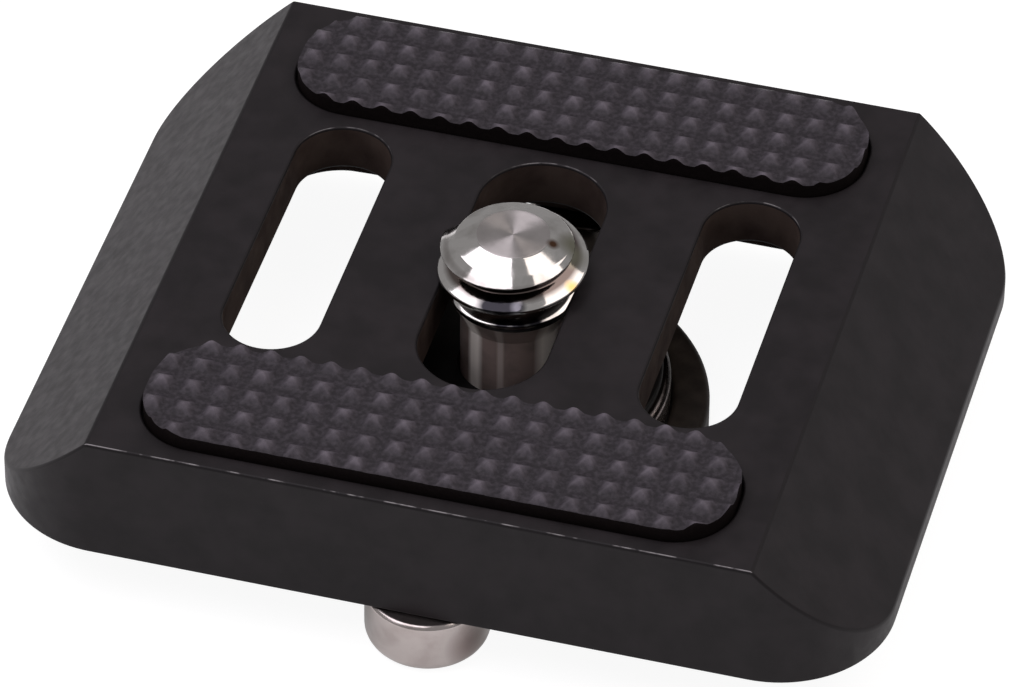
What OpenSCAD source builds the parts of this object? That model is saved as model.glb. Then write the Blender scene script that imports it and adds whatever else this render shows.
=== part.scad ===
// Quick release plate for a tripod head: a slotted dovetail plate with two rubber grip pads,
// a captive camera screw with a folding finger ring, and two stop screws under its ends.
// Millimetres. The origin is on the surface that the stop screws stand on, below the middle of
// the plate. +X runs across the dovetail, +Y along it and +Z up through the camera screw.

/* [Plate] */
// Width across the dovetail, between the two upright lips
plate_w = 38; // [37:0.5:42]
// Length of the plate along the dovetail
plate_l = 30; // [29:0.5:40]
// Thickness from the underside to the top face
plate_t = 6; // [5.5:0.1:8]
// Height of the upright lip below each slope
lip_h = 1; // [0.6:0.1:1.6]
// Angle of the dovetail slopes above level, in degrees
slope_angle = 45; // [40:1:50]
// Radius of the four corners seen from above
corner_r = 5; // [3:0.5:7]
// Broken edge along the lips and the top face
edge_break = 0.2; // [0.1:0.05:0.4]

/* [Underside pocket] */
// Thickness of the web that roofs the pocket
web_t = 2.2; // [1.8:0.1:2.5]
// Width of the solid rim at each end of the pocket
end_rim = 3.65; // [3.5:0.05:4.5]
// Width of the solid rim along each dovetail side of the pocket
side_rim = 6; // [5.5:0.1:6.8]
// Radius of the pocket's corners
pocket_r = 3; // [1.5:0.5:5]

/* [Slots] */
// Width of each side slot
side_slot_w = 4.15; // [3.8:0.05:4.8]
// Distance of each side slot from the middle of the plate
side_slot_x = 8.95; // [8.6:0.05:9.6]
// Top face left between the end of a side slot and a pad
side_slot_land = 0.9; // [0.3:0.05:1.5]
// Width of the middle slot, narrower than the screw's thread
screw_slot_w = 5.5; // [5:0.1:5.8]
// Top face left between the end of the middle slot and a pad
screw_slot_land = 0.85; // [0.2:0.05:1.5]
// Broken edge round the top of each slot
slot_break = 0.13; // [0.05:0.01:0.25]

/* [Grip pads] */
// Width of a pad along the dovetail
pad_w = 5.85; // [5.2:0.05:6.6]
// Top face left between a pad and the end of the plate
pad_inset = 0.95; // [0.6:0.05:1.4]
// Top face left between the end of a pad and a slope
pad_end_land = 1.52; // [0.6:0.02:2.4]
// Radius of a pad's corners
pad_r = 2.6; // [1:0.1:2.6]
// Depth of the recess that a pad is glued into
pad_recess = 0.4; // [0.2:0.1:0.6]
// Gap all round between a pad and its recess
pad_gap = 0.08; // [0.04:0.02:0.12]
// Height of a pad's flat face above the top face
pad_rise = 0.5; // [0.2:0.05:0.7]
// Height of the small pyramids on a pad
pyramid_h = 0.38; // [0.2:0.01:0.6]
// Width of a pyramid's square base
pyramid_w = 0.86; // [0.6:0.02:1.1]
// Distance from one pyramid to the next along a pad
column_pitch = 1.29; // [1.15:0.01:1.5]
// Distance from one pyramid to the next across a pad
row_pitch = 1.335; // [1.15:0.005:1.5]
// Pyramids along a pad
pyramid_columns = 19; // [11:2:19]
// Pyramids across a pad, the innermost row cut by the pad's edge
pyramid_rows = 5; // [3:1:5]

/* [Camera screw] */
// Outside diameter of the camera thread
thread_d = 6.35; // [6.2:0.05:6.5]
// Full-diameter length of the thread
thread_l = 1.22; // [0.8:0.02:1.6]
// Height of the sloping underside of the lowest thread turn
flank_h = 0.5; // [0.3:0.05:0.8]
// Height of the tapered tip above the full thread
tip_h = 0.86; // [0.6:0.02:1.2]
// Diameter of the flat end of the tip
tip_d = 3.05; // [2.8:0.05:3.8]
// Diameter of the plain shank that slides in the middle slot
shank_d = 4.06; // [3.6:0.02:4.4]
// Diameter of the thread's root, where it runs out into the shank
root_d = 4.8; // [4.5:0.1:4.9]
// Length of the run-out between the thread and the plain shank
runout_l = 1.6; // [1:0.1:2.2]
// Diameter of the head
head_d = 13.4; // [12.6:0.1:13.5]
// Broken edge round the head
head_edge = 0.3; // [0.15:0.05:0.4]
// How far the screw can lift before its washer meets the web
screw_lift = 2.6; // [2.3:0.05:2.9]
// How far the head sits inside the pocket once the screw is lifted
flush_sink = 0.35; // [0.1:0.05:0.6]
// Width of the coin slot across the head's underside
coin_slot_w = 1.8; // [1.2:0.1:2.4]
// Depth of the coin slot
coin_slot_depth = 1.3; // [0.8:0.1:1.6]
// Gap between the lowest thread turn and the edges of the middle slot
hang_gap = 0.1; // [0.05:0.01:0.2]

/* [Washer] */
// Thickness of the nylon washer on the head
washer_t = 0.4; // [0.3:0.05:0.6]
// Outside diameter of the washer
washer_d = 12.8; // [10:0.2:13]
// Gap between the washer and the shank, and below the washer
washer_gap = 0.06; // [0.04:0.01:0.1]

/* [Finger ring] */
// Width of the flat ring, measured outwards from the head
ring_band = 1.5; // [1.1:0.1:1.6]
// Thickness of the ring
ring_t = 1.8; // [1.5:0.1:2]
// Gap between the ring and the head
ring_gap = 0.2; // [0.15:0.01:0.3]
// Diameter of the two pivot pins at the ring's ends
pivot_d = 1.1; // [0.8:0.1:1.2]
// Depth of each pivot pin in the head
pivot_l = 1.4; // [1:0.1:2]
// Gap round each pivot pin in its hole
pivot_gap = 0.05; // [0.02:0.01:0.08]

/* [Stop screws] */
// Diameter of a stop screw's head
stop_head_d = 5.4; // [4.8:0.1:5.6]
// Height of a stop screw's head
stop_head_h = 2.25; // [1.8:0.05:2.8]
// Rounding of the head's lower edge
stop_edge_r = 0.4; // [0.2:0.05:0.6]
// Diameter of the collar between the head and the plate
stop_collar_d = 3.6; // [3.3:0.05:3.7]
// Height of that collar
stop_collar_h = 0.45; // [0.35:0.05:0.7]
// Outside diameter of the stop screw's thread
stop_thread_d = 3; // [2.5:0.1:3.1]
// Length of the stop screw's thread
stop_thread_l = 3.2; // [2.5:0.1:3.6]
// Clearance round and above the stop screw's thread
stop_gap = 0.02; // [0.01:0.01:0.04]
// Width across the flats of the hexagon socket
socket_af = 2.5; // [2:0.1:2.6]
// Depth of the hexagon socket
socket_depth = 1.3; // [0.8:0.1:1.6]

/* [Hidden] */
$fn = 96;
// Overrun of every cut past the surface it opens
cut = 1;

// Heights, counted from the surface that the stop screws stand on
plate_z = stop_head_h + stop_collar_h;
top_z = plate_z + plate_t;
roof_z = top_z - web_t;
head_z = plate_z + flush_sink - screw_lift;
head_top_z = roof_z - screw_lift - washer_t - washer_gap;
washer_z = head_top_z + washer_gap;
pivot_z = head_z + ring_t / 2;

// Screw heights: the lowest turn's sloping underside hangs on the edges of the middle slot
flank_slot_share = (screw_slot_w - root_d) / (thread_d - root_d);
root_z = top_z + hang_gap - flank_h * flank_slot_share;
thread_z = root_z + flank_h;
tip_z = thread_z + thread_l;
tip_top_z = tip_z + tip_h;

// Plan sizes that follow from the plate's own
slope_w = (plate_t - lip_h) / tan(slope_angle);
top_w = plate_w - 2 * slope_w;
pocket_w = plate_w - 2 * side_rim;
pocket_l = plate_l - 2 * end_rim;
pad_l = top_w - 2 * pad_end_land;
pad_y = plate_l / 2 - pad_inset - pad_w / 2;
pad_inner_y = pad_y - pad_w / 2;
side_slot_l = 2 * (pad_inner_y - side_slot_land);
screw_slot_l = 2 * (pad_inner_y - screw_slot_land);
stop_y = plate_l / 2 - end_rim / 2;
ring_r = head_d / 2 + ring_gap;
stop_hole_l = stop_thread_l + cut / 2;

// The tip rounds over in three steps: shares of its height and of its overhang past the flat end
shoulder_share = 0.21;
shoulder_overhang_share = 0.84;
crown_share = 0.66;
crown_overhang_share = 0.54;

// Finishes
anodised = [0.16, 0.15, 0.16];
rubber = [0.22, 0.21, 0.23];
stainless = [0.78, 0.77, 0.75];
nylon = [0.1, 0.1, 0.1];
blackened = [0.13, 0.12, 0.12];

// Outlines

// Slot outline with full-round ends, its length along X
module stadium(length, width) {
    square([length - width, width], center = true);
    for (side = [-1, 1]) translate([side * (length - width) / 2, 0]) circle(d = width);
}

// Rectangle with four round corners
module rounded_rectangle(width, length, r) {
    square([width - 2 * r, length], center = true);
    square([width, length - 2 * r], center = true);
    for (x = [-1, 1], y = [-1, 1])
        translate([x * (width / 2 - r), y * (length / 2 - r)]) circle(r = r);
}

// Cross-section of the dovetail, upright lips below and slopes above, from z = 0
module dovetail_section() {
    run = edge_break * cos(slope_angle);
    drop = edge_break * sin(slope_angle);
    right = [[plate_w / 2 - edge_break, 0], [plate_w / 2, edge_break],
             [plate_w / 2, lip_h],
             [top_w / 2 + run, plate_t - drop], [top_w / 2 - edge_break, plate_t]];
    left = [for (i = [len(right) - 1 : -1 : 0]) [-right[i][0], right[i][1]]];
    polygon(concat(right, left));
}

// Side view of the plate: its two ends with their broken edges, from z = 0
module end_section() {
    right = [[plate_l / 2 - edge_break, 0], [plate_l / 2, edge_break],
             [plate_l / 2, plate_t - edge_break], [plate_l / 2 - edge_break, plate_t]];
    left = [for (i = [len(right) - 1 : -1 : 0]) [-right[i][0], right[i][1]]];
    polygon(concat(right, left));
}

// Section of a pad with one row of peaks on its flat face, cut off past the pad's length
module ridge_section(length, first, pitch, count) {
    last = first + (count - 1) * pitch;
    low = min(-length / 2, first - pyramid_w / 2) - cut;
    high = max(length / 2, last + pyramid_w / 2) + cut;
    peaks = [for (i = [0 : count - 1], side = [-1, 0, 1])
             [first + i * pitch + side * pyramid_w / 2, pad_rise + (1 - abs(side)) * pyramid_h]];
    polygon(concat([[low, -pad_recess], [low, pad_rise]], peaks, [[high, pad_rise], [high, -pad_recess]]));
}

// Pieces

// Solid plate before its openings are cut
module plate_blank() {
    intersection() {
        rotate([90, 0, 0]) linear_extrude(plate_l + 2 * cut, center = true) dovetail_section();
        rotate([90, 0, 90]) linear_extrude(plate_w + 2 * cut, center = true) end_section();
        translate([0, 0, -cut]) linear_extrude(plate_t + 2 * cut)
            rounded_rectangle(plate_w, plate_l, corner_r);
    }
}

// Slanted cut that breaks a slot's upper edge, its length along X and the face at z = 0
module slot_edge_cut(length, width) {
    run = length - width;
    low = width / 2;
    high = low + 2 * slot_break;
    translate([0, 0, -slot_break]) {
        rotate([90, 0, 90]) linear_extrude(run, center = true)
            polygon([[-low, 0], [low, 0], [high, 2 * slot_break], [-high, 2 * slot_break]]);
        for (side = [-1, 1]) translate([side * run / 2, 0, 0])
            cylinder(r1 = low, r2 = high, h = 2 * slot_break);
    }
}

module plate_body() {
    color(anodised) translate([0, 0, plate_z]) difference() {
        plate_blank();
        translate([0, 0, -cut]) linear_extrude(plate_t - web_t + cut)
            rounded_rectangle(pocket_w, pocket_l, pocket_r);
        for (side = [-1, 1]) translate([side * side_slot_x, 0, plate_t]) rotate(90) {
            translate([0, 0, -plate_t - cut]) linear_extrude(plate_t + 2 * cut)
                stadium(side_slot_l, side_slot_w);
            slot_edge_cut(side_slot_l, side_slot_w);
        }
        translate([0, 0, plate_t]) rotate(90) {
            translate([0, 0, -plate_t - cut]) linear_extrude(plate_t + 2 * cut)
                stadium(screw_slot_l, screw_slot_w);
            slot_edge_cut(screw_slot_l, screw_slot_w);
        }
        for (side = [-1, 1])
            translate([0, side * pad_y, plate_t - pad_recess]) linear_extrude(pad_recess + cut)
                rounded_rectangle(pad_l + 2 * pad_gap, pad_w + 2 * pad_gap, pad_r + pad_gap);
        for (side = [-1, 1])
            translate([0, side * stop_y, -cut])
                cylinder(d = stop_thread_d + 2 * stop_gap, h = stop_hole_l + cut);
    }
}

// Pad with rows of square pyramids that start at its outer edge, here at y = -pad_w / 2
module grip_pad() {
    color(rubber) translate([0, 0, top_z]) intersection() {
        rotate([90, 0, 0]) linear_extrude(pad_w + cut, center = true)
            ridge_section(pad_l, -(pyramid_columns - 1) / 2 * column_pitch, column_pitch, pyramid_columns);
        rotate([90, 0, 90]) linear_extrude(pad_l + cut, center = true)
            ridge_section(pad_w, (pyramid_w - pad_w) / 2, row_pitch, pyramid_rows);
        translate([0, 0, -pad_recess - cut]) linear_extrude(pad_recess + pad_rise + pyramid_h + 2 * cut)
            rounded_rectangle(pad_l, pad_w, pad_r);
    }
}

module front_pad() {
    translate([0, -pad_y, 0]) grip_pad();
}

module rear_pad() {
    rotate(180) front_pad();
}

// Socket-head screw: rounded head below, collar against the plate, thread in its hole
module stop_screw() {
    head_r = stop_head_d / 2;
    color(stainless) difference() {
        union() {
            rotate_extrude() {
                square([head_r - stop_edge_r, stop_head_h]);
                translate([0, stop_edge_r]) square([head_r, stop_head_h - stop_edge_r]);
                translate([head_r - stop_edge_r, stop_edge_r]) circle(r = stop_edge_r);
            }
            cylinder(d = stop_collar_d, h = plate_z);
            cylinder(d = stop_thread_d, h = plate_z + stop_thread_l);
        }
        translate([0, 0, -cut])
            cylinder(d = socket_af / cos(30), h = socket_depth + cut, $fn = 6);
    }
}

module front_stop_screw() {
    translate([0, -stop_y, 0]) stop_screw();
}

module rear_stop_screw() {
    translate([0, stop_y, 0]) stop_screw();
}

// Half outline of the camera screw, from the head's underside up to the flat tip
module screw_profile() {
    head_r = head_d / 2;
    tip_r = tip_d / 2;
    overhang = thread_d / 2 - tip_r;
    polygon([[0, head_z], [head_r - head_edge, head_z], [head_r, head_z + head_edge],
             [head_r, head_top_z - head_edge], [head_r - head_edge, head_top_z],
             [shank_d / 2, head_top_z], [shank_d / 2, root_z - runout_l],
             [root_d / 2, root_z], [thread_d / 2, thread_z], [thread_d / 2, tip_z],
             [tip_r + overhang * shoulder_overhang_share, tip_z + tip_h * shoulder_share],
             [tip_r + overhang * crown_overhang_share, tip_z + tip_h * crown_share],
             [tip_r, tip_top_z], [0, tip_top_z]]);
}

module camera_screw() {
    color(stainless) difference() {
        rotate_extrude() screw_profile();
        translate([0, 0, head_z + (coin_slot_depth - cut) / 2])
            cube([head_d + 2 * cut, coin_slot_w, coin_slot_depth + cut], center = true);
        for (side = [-1, 1])
            translate([0, side * (head_d / 2 + cut), pivot_z]) rotate([side * 90, 0, 0])
                cylinder(d = pivot_d + 2 * pivot_gap, h = pivot_l + pivot_gap + cut);
    }
}

module screw_washer() {
    color(nylon) translate([0, 0, washer_z]) difference() {
        cylinder(d = washer_d, h = washer_t);
        translate([0, 0, -cut])
            cylinder(d = shank_d + 2 * washer_gap, h = washer_t + 2 * cut);
    }
}

// Half ring round the head, with an eye and a pivot pin at each end
module finger_ring() {
    outer_r = ring_r + ring_band;
    color(blackened) translate([0, 0, pivot_z]) {
        intersection() {
            difference() {
                cylinder(r = outer_r, h = ring_t, center = true);
                cylinder(r = ring_r, h = ring_t + 2 * cut, center = true);
            }
            translate([0, -outer_r - cut, -ring_t]) cube([outer_r + cut, 2 * (outer_r + cut), 2 * ring_t]);
        }
        for (side = [-1, 1]) translate([0, side * outer_r, 0]) rotate([side * 90, 0, 0]) {
            cylinder(d = ring_t, h = ring_band);
            cylinder(d = pivot_d, h = ring_band + ring_gap + pivot_l);
        }
    }
}

plate_body();
front_pad();
rear_pad();
front_stop_screw();
rear_stop_screw();
camera_screw();
screw_washer();
finger_ring();
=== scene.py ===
"""Tripod quick release plate: dovetail plate, grip pads, captive camera screw and stop screws.

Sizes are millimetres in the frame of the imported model. Its origin is on the surface that the
stop screws stand on, with +X across the dovetail and +Z up. Meshes are written in metres.
"""

import logging
import math
from abc import ABC, abstractmethod
from dataclasses import dataclass, field
from enum import Enum
from typing import Iterable, Sequence

import bmesh
import bpy
from mathutils import Matrix, Vector


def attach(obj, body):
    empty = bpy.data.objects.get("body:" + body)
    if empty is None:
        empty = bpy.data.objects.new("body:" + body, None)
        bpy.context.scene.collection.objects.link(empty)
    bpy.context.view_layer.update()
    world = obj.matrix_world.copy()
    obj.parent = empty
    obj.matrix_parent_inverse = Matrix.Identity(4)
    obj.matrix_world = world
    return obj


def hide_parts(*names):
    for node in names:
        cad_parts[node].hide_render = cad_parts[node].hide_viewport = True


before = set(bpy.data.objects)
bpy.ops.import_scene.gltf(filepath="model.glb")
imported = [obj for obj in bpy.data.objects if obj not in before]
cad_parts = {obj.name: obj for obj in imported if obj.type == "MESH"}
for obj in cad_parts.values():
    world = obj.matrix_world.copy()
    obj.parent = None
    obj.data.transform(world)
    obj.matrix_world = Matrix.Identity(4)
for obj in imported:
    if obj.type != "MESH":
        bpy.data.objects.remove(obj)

LOG = logging.getLogger("release_plate")
MM = 0.001
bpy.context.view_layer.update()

# Short names of types
Point = tuple[float, float]
Colour = tuple[float, float, float]
Place = tuple[float, float, float]
Size = tuple[float, float, float]
Piece = bpy.types.Object
Socket = bpy.types.NodeSocket
Value = Socket | float | Place

# Millimetres: points nearer than this are one, doubled points of a cut mesh are welded within this,
# slack of the tests on where a face lies, and overrun of a cutter past the surface that it opens
SAME_PLACE = 1e-6
WELD = 0.002
SLACK = 0.01
OVERRUN = 1.0

# Degrees: faces that turn less than this are joined as level, and edges that turn more are rounded
LEVEL_ANGLE = 0.3
SHARP_ANGLE = 24.0

# Pull of flat faces on the shading of their edges, and the full-strength shares of spots and of the painted
# reflection streaks
FLAT_WEIGHT = 80
SPOT_CORE = 0.35
STREAK_CORE = 0.4


class Cut(Enum):
    """How one solid works on another."""

    REMOVE = "DIFFERENCE"
    KEEP_COMMON = "INTERSECT"


class End(Enum):
    """The two ends of the plate, by their direction along Y."""

    FRONT = -1
    REAR = 1


# Outlines and curves


def without_repeats(points: Iterable[Point]) -> list[Point]:
    """Drops each point of a closed outline that lies on the one before it.

    Args:
        points: the outline in order.

    Returns:
        The outline with no two neighbours in one place.
    """
    kept: list[Point] = []
    for point in points:
        if not kept or math.dist(point, kept[-1]) > SAME_PLACE:
            kept.append(point)
    if math.dist(kept[0], kept[-1]) < SAME_PLACE:
        kept.pop()
    return kept


def rounded_rectangle(width: float, length: float, radius: float, steps: int = 20) -> list[Point]:
    """Outline of a rectangle with round corners, centred, counter-clockwise.

    Args:
        width: size along X.
        length: size along Y.
        radius: radius of the corners, which makes a full-round end at half the smaller size.
        steps: straight pieces in each quarter circle.

    Returns:
        The outline's points.
    """
    points: list[Point] = []
    for quarter, (side_x, side_y) in enumerate(((1, 1), (-1, 1), (-1, -1), (1, -1))):
        centre = (side_x * (width / 2 - radius), side_y * (length / 2 - radius))
        for step in range(steps + 1):
            angle = math.radians(90 * (quarter + step / steps))
            points.append((centre[0] + radius * math.cos(angle), centre[1] + radius * math.sin(angle)))
    return without_repeats(points)


def along(curve: Sequence[Point], at: float) -> float:
    """Height of a chain of straight pieces at one place.

    Args:
        curve: the chain's points, in rising order of their first value.
        at: where to read it.

    Returns:
        The second value there, held level past the ends.
    """
    if at <= curve[0][0]:
        return curve[0][1]
    for (x0, y0), (x1, y1) in zip(curve, curve[1:]):
        if at <= x1:
            return y0 + (y1 - y0) * (at - x0) / (x1 - x0)
    return curve[-1][1]


def soft_clamp(value: float, ease: float) -> float:
    """Holds a value between 0 and 1 with rounded corners.

    Args:
        value: the plain value.
        ease: half the width of each rounded corner.

    Returns:
        The held value.
    """
    if value > 0.5:
        return 1 - soft_clamp(1 - value, ease)
    if value <= -ease:
        return 0.0
    return (value + ease) ** 2 / (4 * ease) if value < ease else value


def soft_min(first: float, second: float, ease: float) -> float:
    """Smaller of two values, with a fillet of width ease where they cross."""
    share = max(0.0, ease - abs(first - second)) / ease
    return min(first, second) - share * share * ease / 4


# Closed surfaces


@dataclass
class Shell:
    """Points and faces of one closed surface, in millimetres."""

    points: list[Place] = field(default_factory=list)
    faces: list[tuple[int, ...]] = field(default_factory=list)

    def moved(self, change: Matrix | Place) -> "Shell":
        """Copy of the shell that is turned or shifted.

        Args:
            change: a 4x4 matrix, or a plain shift.

        Returns:
            The changed copy.
        """
        matrix = change if isinstance(change, Matrix) else Matrix.Translation(change)
        return Shell([tuple(matrix @ Vector(point)) for point in self.points], list(self.faces))

    @classmethod
    def prism(cls, outline: Sequence[Point], low: float, high: float) -> "Shell":
        """Straight-sided solid over an outline.

        Args:
            outline: its plan, counter-clockwise.
            low: height of its bottom.
            high: height of its top.

        Returns:
            The shell.
        """
        count = len(outline)
        points = [(x, y, z) for z in (low, high) for x, y in outline]
        faces = [tuple(reversed(range(count))), tuple(range(count, 2 * count))]
        faces += [(i, (i + 1) % count, (i + 1) % count + count, i + count) for i in range(count)]
        return cls(points, faces)

    @classmethod
    def rings(cls, rings: Sequence[Sequence[Place]], looped: bool = False) -> "Shell":
        """Skin over a row of rings with equal counts; a ring of one point is a pole.

        Args:
            rings: the rings in order.
            looped: whether the last ring joins the first.

        Returns:
            The shell.
        """
        shell = cls()
        steps = max(len(ring) for ring in rings)
        rows: list[list[int]] = []
        for ring in rings:
            start = len(shell.points)
            shell.points.extend(ring)
            rows.append([start] * steps if len(ring) == 1 else list(range(start, start + steps)))
        pairs = list(zip(rows, rows[1:])) + ([(rows[-1], rows[0])] if looped else [])
        for low, high in pairs:
            for i in range(steps):
                j = (i + 1) % steps
                corners = dict.fromkeys((low[i], low[j], high[j], high[i]))
                if len(corners) > 2:
                    shell.faces.append(tuple(corners))
        return shell

    @classmethod
    def turned(cls, profile: Sequence[Point], steps: int = 128, looped: bool = False) -> "Shell":
        """Solid turned about the Z axis.

        Args:
            profile: radius and height pairs, from the bottom on the axis to the top on it, or a
                closed section.
            steps: straight pieces in the full circle.
            looped: whether the section is closed by itself.

        Returns:
            The shell.
        """
        angles = [math.tau * i / steps for i in range(steps)]
        rings = [
            [(0.0, 0.0, z)] if r < SAME_PLACE else [(r * math.cos(a), r * math.sin(a), z) for a in angles]
            for r, z in profile
        ]
        return cls.rings(rings, looped)


class Workbench:
    """Makes objects of shells and finishes their edges."""

    @staticmethod
    def solid(name: str, *shells: Shell) -> Piece:
        """Object made of one or more shells, with its faces turned outwards.

        Args:
            name: the piece's name.
            shells: its surfaces.

        Returns:
            The object, at the origin.
        """
        mesh = bpy.data.meshes.new(name)
        form = bmesh.new()
        for shell in shells:
            points = [form.verts.new(Vector(point) * MM) for point in shell.points]
            for face in shell.faces:
                form.faces.new([points[i] for i in face])
        bmesh.ops.recalc_face_normals(form, faces=form.faces)
        form.to_mesh(mesh)
        form.free()
        piece = bpy.data.objects.new(name, mesh)
        bpy.context.scene.collection.objects.link(piece)
        return piece

    @staticmethod
    def settle(piece: Piece) -> None:
        """Applies the modifiers of a piece to its mesh."""
        bpy.context.view_layer.update()
        graph = bpy.context.evaluated_depsgraph_get()
        worked = bpy.data.meshes.new_from_object(piece.evaluated_get(graph))
        piece.modifiers.clear()
        old = piece.data
        piece.data = worked
        bpy.data.meshes.remove(old)

    @classmethod
    def cut(cls, piece: Piece, mode: Cut, *tools: Shell, clean: bool = True) -> None:
        """Works tools on a piece one by one.

        Args:
            piece: what is cut.
            mode: how the tools cut it.
            tools: their shells.
            clean: whether doubled points are welded and level faces joined afterwards.
        """
        for tool in tools:
            knife = cls.solid("knife", tool)
            step = piece.modifiers.new("cut", "BOOLEAN")
            step.operation = mode.value
            step.solver = "EXACT"
            step.object = knife
            cls.settle(piece)
            bpy.data.objects.remove(knife)
        if not clean:
            return
        form = bmesh.new()
        form.from_mesh(piece.data)
        bmesh.ops.remove_doubles(form, verts=form.verts, dist=WELD * MM)
        level = math.radians(LEVEL_ANGLE)
        bmesh.ops.dissolve_limit(form, angle_limit=level, verts=form.verts, edges=form.edges)
        form.to_mesh(piece.data)
        form.free()

    @classmethod
    def soften(cls, piece: Piece, width: float, segments: int = 3, edge_slot: int = -1) -> None:
        """Rounds the sharp edges of a piece.

        Args:
            piece: what is rounded.
            width: width of the rounding in millimetres.
            segments: faces across it.
            edge_slot: material slot of the rounded faces, or -1 for that of their neighbours.
        """
        bevel = piece.modifiers.new("edges", "BEVEL")
        bevel.width = width * MM
        bevel.segments = segments
        bevel.limit_method = "ANGLE"
        bevel.angle_limit = math.radians(SHARP_ANGLE)
        bevel.use_clamp_overlap = False
        bevel.miter_outer = "MITER_ARC"
        bevel.material = edge_slot
        cls.settle(piece)
        cls.shade(piece)

    @classmethod
    def shade(cls, piece: Piece, weighted: bool = True) -> None:
        """Shades a piece smooth, with its flat faces kept flat when weighted."""
        piece.data.polygons.foreach_set("use_smooth", [True] * len(piece.data.polygons))
        if weighted:
            normals = piece.modifiers.new("normals", "WEIGHTED_NORMAL")
            normals.weight = FLAT_WEIGHT
            cls.settle(piece)

    @staticmethod
    def add_slots(piece: Piece, count: int) -> None:
        """Gives a piece empty material slots until it has count of them."""
        while len(piece.data.materials) < count:
            piece.data.materials.append(None)


# Finishes


class NodeTree:
    """Material under a name, with one call for each node."""

    def __init__(self, name: str) -> None:
        """Starts an empty material called name."""
        self.material = bpy.data.materials.new(name)
        self.material.use_nodes = True
        self.nodes = self.material.node_tree.nodes
        self.links = self.material.node_tree.links
        self.nodes.clear()

    def add(self, kind: str, output: str | int, inputs: dict[str | int, Value | None], **options: str) -> Socket:
        """Adds one node.

        Args:
            kind: its type without the prefix that all shader nodes have.
            output: the output that is wanted.
            inputs: a link or a value for each input, by name or number, where None leaves it as it is.
            options: the node's own settings.

        Returns:
            The output.
        """
        node = self.nodes.new("ShaderNode" + kind)
        for option, value in options.items():
            setattr(node, option, value)
        for name, value in inputs.items():
            if isinstance(value, Socket):
                self.links.new(value, node.inputs[name])
            elif value is not None:
                opaque = node.inputs[name].type == "RGBA"
                node.inputs[name].default_value = (*value, 1.0) if opaque else value
        return node.outputs[output]

    def show(self, surface: Socket) -> None:
        """Makes surface the look of the material."""
        self.links.new(surface, self.nodes.new("ShaderNodeOutputMaterial").inputs["Surface"])


class Shader(NodeTree):
    """Node tree of one finish, with short calls for the nodes that finishes share."""

    def __init__(self, name: str) -> None:
        """Starts a plain finish called name."""
        super().__init__(name)
        self.show(self.add("BsdfPrincipled", "BSDF", {}))
        self.surface = self.nodes["Principled BSDF"].inputs
        coordinates = self.nodes.new("ShaderNodeTexCoord").outputs
        self.place, self.facing = coordinates["Object"], coordinates["Normal"]

    def set(self, **values: float) -> None:
        """Sets sockets of the surface, named with underscores for blanks."""
        for name, value in values.items():
            self.surface[name.replace("_", " ")].default_value = value

    def feed(self, name: str, source: Socket) -> None:
        """Links a source to one socket of the surface."""
        self.links.new(source, self.surface[name])

    def stretched(self, scale: Place) -> Socket:
        """Object place, scaled by its own amount along each axis."""
        return self.add("Mapping", "Vector", {"Vector": self.place, "Scale": scale})

    def noise(self, grain: float, detail: float = 3.0, place: Socket | None = None) -> Socket:
        """Noise with a given size of grain.

        Args:
            grain: size of its features in millimetres.
            detail: how many finer layers it has.
            place: where it is read, or None for the object place.

        Returns:
            The noise, about 0.3 to 0.7.
        """
        scale = 1 / (grain * MM)
        return self.add("TexNoise", "Fac", {"Vector": place or self.place, "Scale": scale, "Detail": detail})

    def math(self, operation: str, first: Socket, second: Socket | float = 0.0) -> Socket:
        """One sum of two sockets or numbers."""
        return self.add("Math", "Value", {0: first, 1: second}, operation=operation)

    def product(self, *factors: Socket) -> Socket:
        """All factors multiplied."""
        result = factors[0]
        for factor in factors[1:]:
            result = self.math("MULTIPLY", result, factor)
        return result

    def ramp(self, source: Socket, *stops: tuple[float, Colour]) -> Socket:
        """Colours by the value of a source.

        Args:
            source: what is read.
            stops: two places from 0 to 1, each with its colour.

        Returns:
            The colour.
        """
        colour = self.add("ValToRGB", "Color", {"Fac": source})
        for element, (place, shade) in zip(colour.node.color_ramp.elements, stops):
            element.position = place
            element.color = (*shade, 1.0)
        return colour

    def spread(self, source: Socket, low: float, high: float, start: float = 0.0,
               stop: float = 1.0) -> Socket:
        """Maps source from low..high to start..stop, held at both ends."""
        ends = {"From Min": low, "From Max": high, "To Min": start, "To Max": stop}
        return self.add("MapRange", "Result", {"Value": source, **ends})

    def axis(self, source: Socket, name: str) -> Socket:
        """One part, X, Y or Z, of a vector."""
        return self.add("SeparateXYZ", name, {0: source})

    def reach(self, name: str, low: float, high: float, start: float = 0.0, stop: float = 1.0) -> Socket:
        """Maps the place along one axis, in millimetres, as spread does."""
        return self.spread(self.axis(self.place, name), low * MM, high * MM, start, stop)

    def near(self, place: Place, radius: float) -> Socket:
        """Soft spot: 1 at a place in millimetres, and 0 from its radius on."""
        away = self.add("VectorMath", "Value", {0: self.place, 1: Vector(place) * MM}, operation="DISTANCE")
        return self.spread(away, radius * SPOT_CORE * MM, radius * MM, 1.0, 0.0)

    def blend(self, share: Socket, under: Socket | Colour, over: Socket | Colour) -> Socket:
        """Colour between two others by a share from 0 to 1."""
        return self.add("Mix", 2, {0: share, 6: under, 7: over}, data_type="RGBA")

    def bump(self, height: Socket, depth: float, under: Socket | None = None) -> Socket:
        """Bumps of a given depth in millimetres, on top of others if under is given."""
        inputs = {"Strength": 1.0, "Distance": depth * MM, "Height": height, "Normal": under}
        return self.add("Bump", "Normal", inputs)


class Finish(ABC):
    """A finish that makes its own material."""

    name: str
    slot: str

    @abstractmethod
    def material(self) -> bpy.types.Material:
        """Makes the material."""


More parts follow.
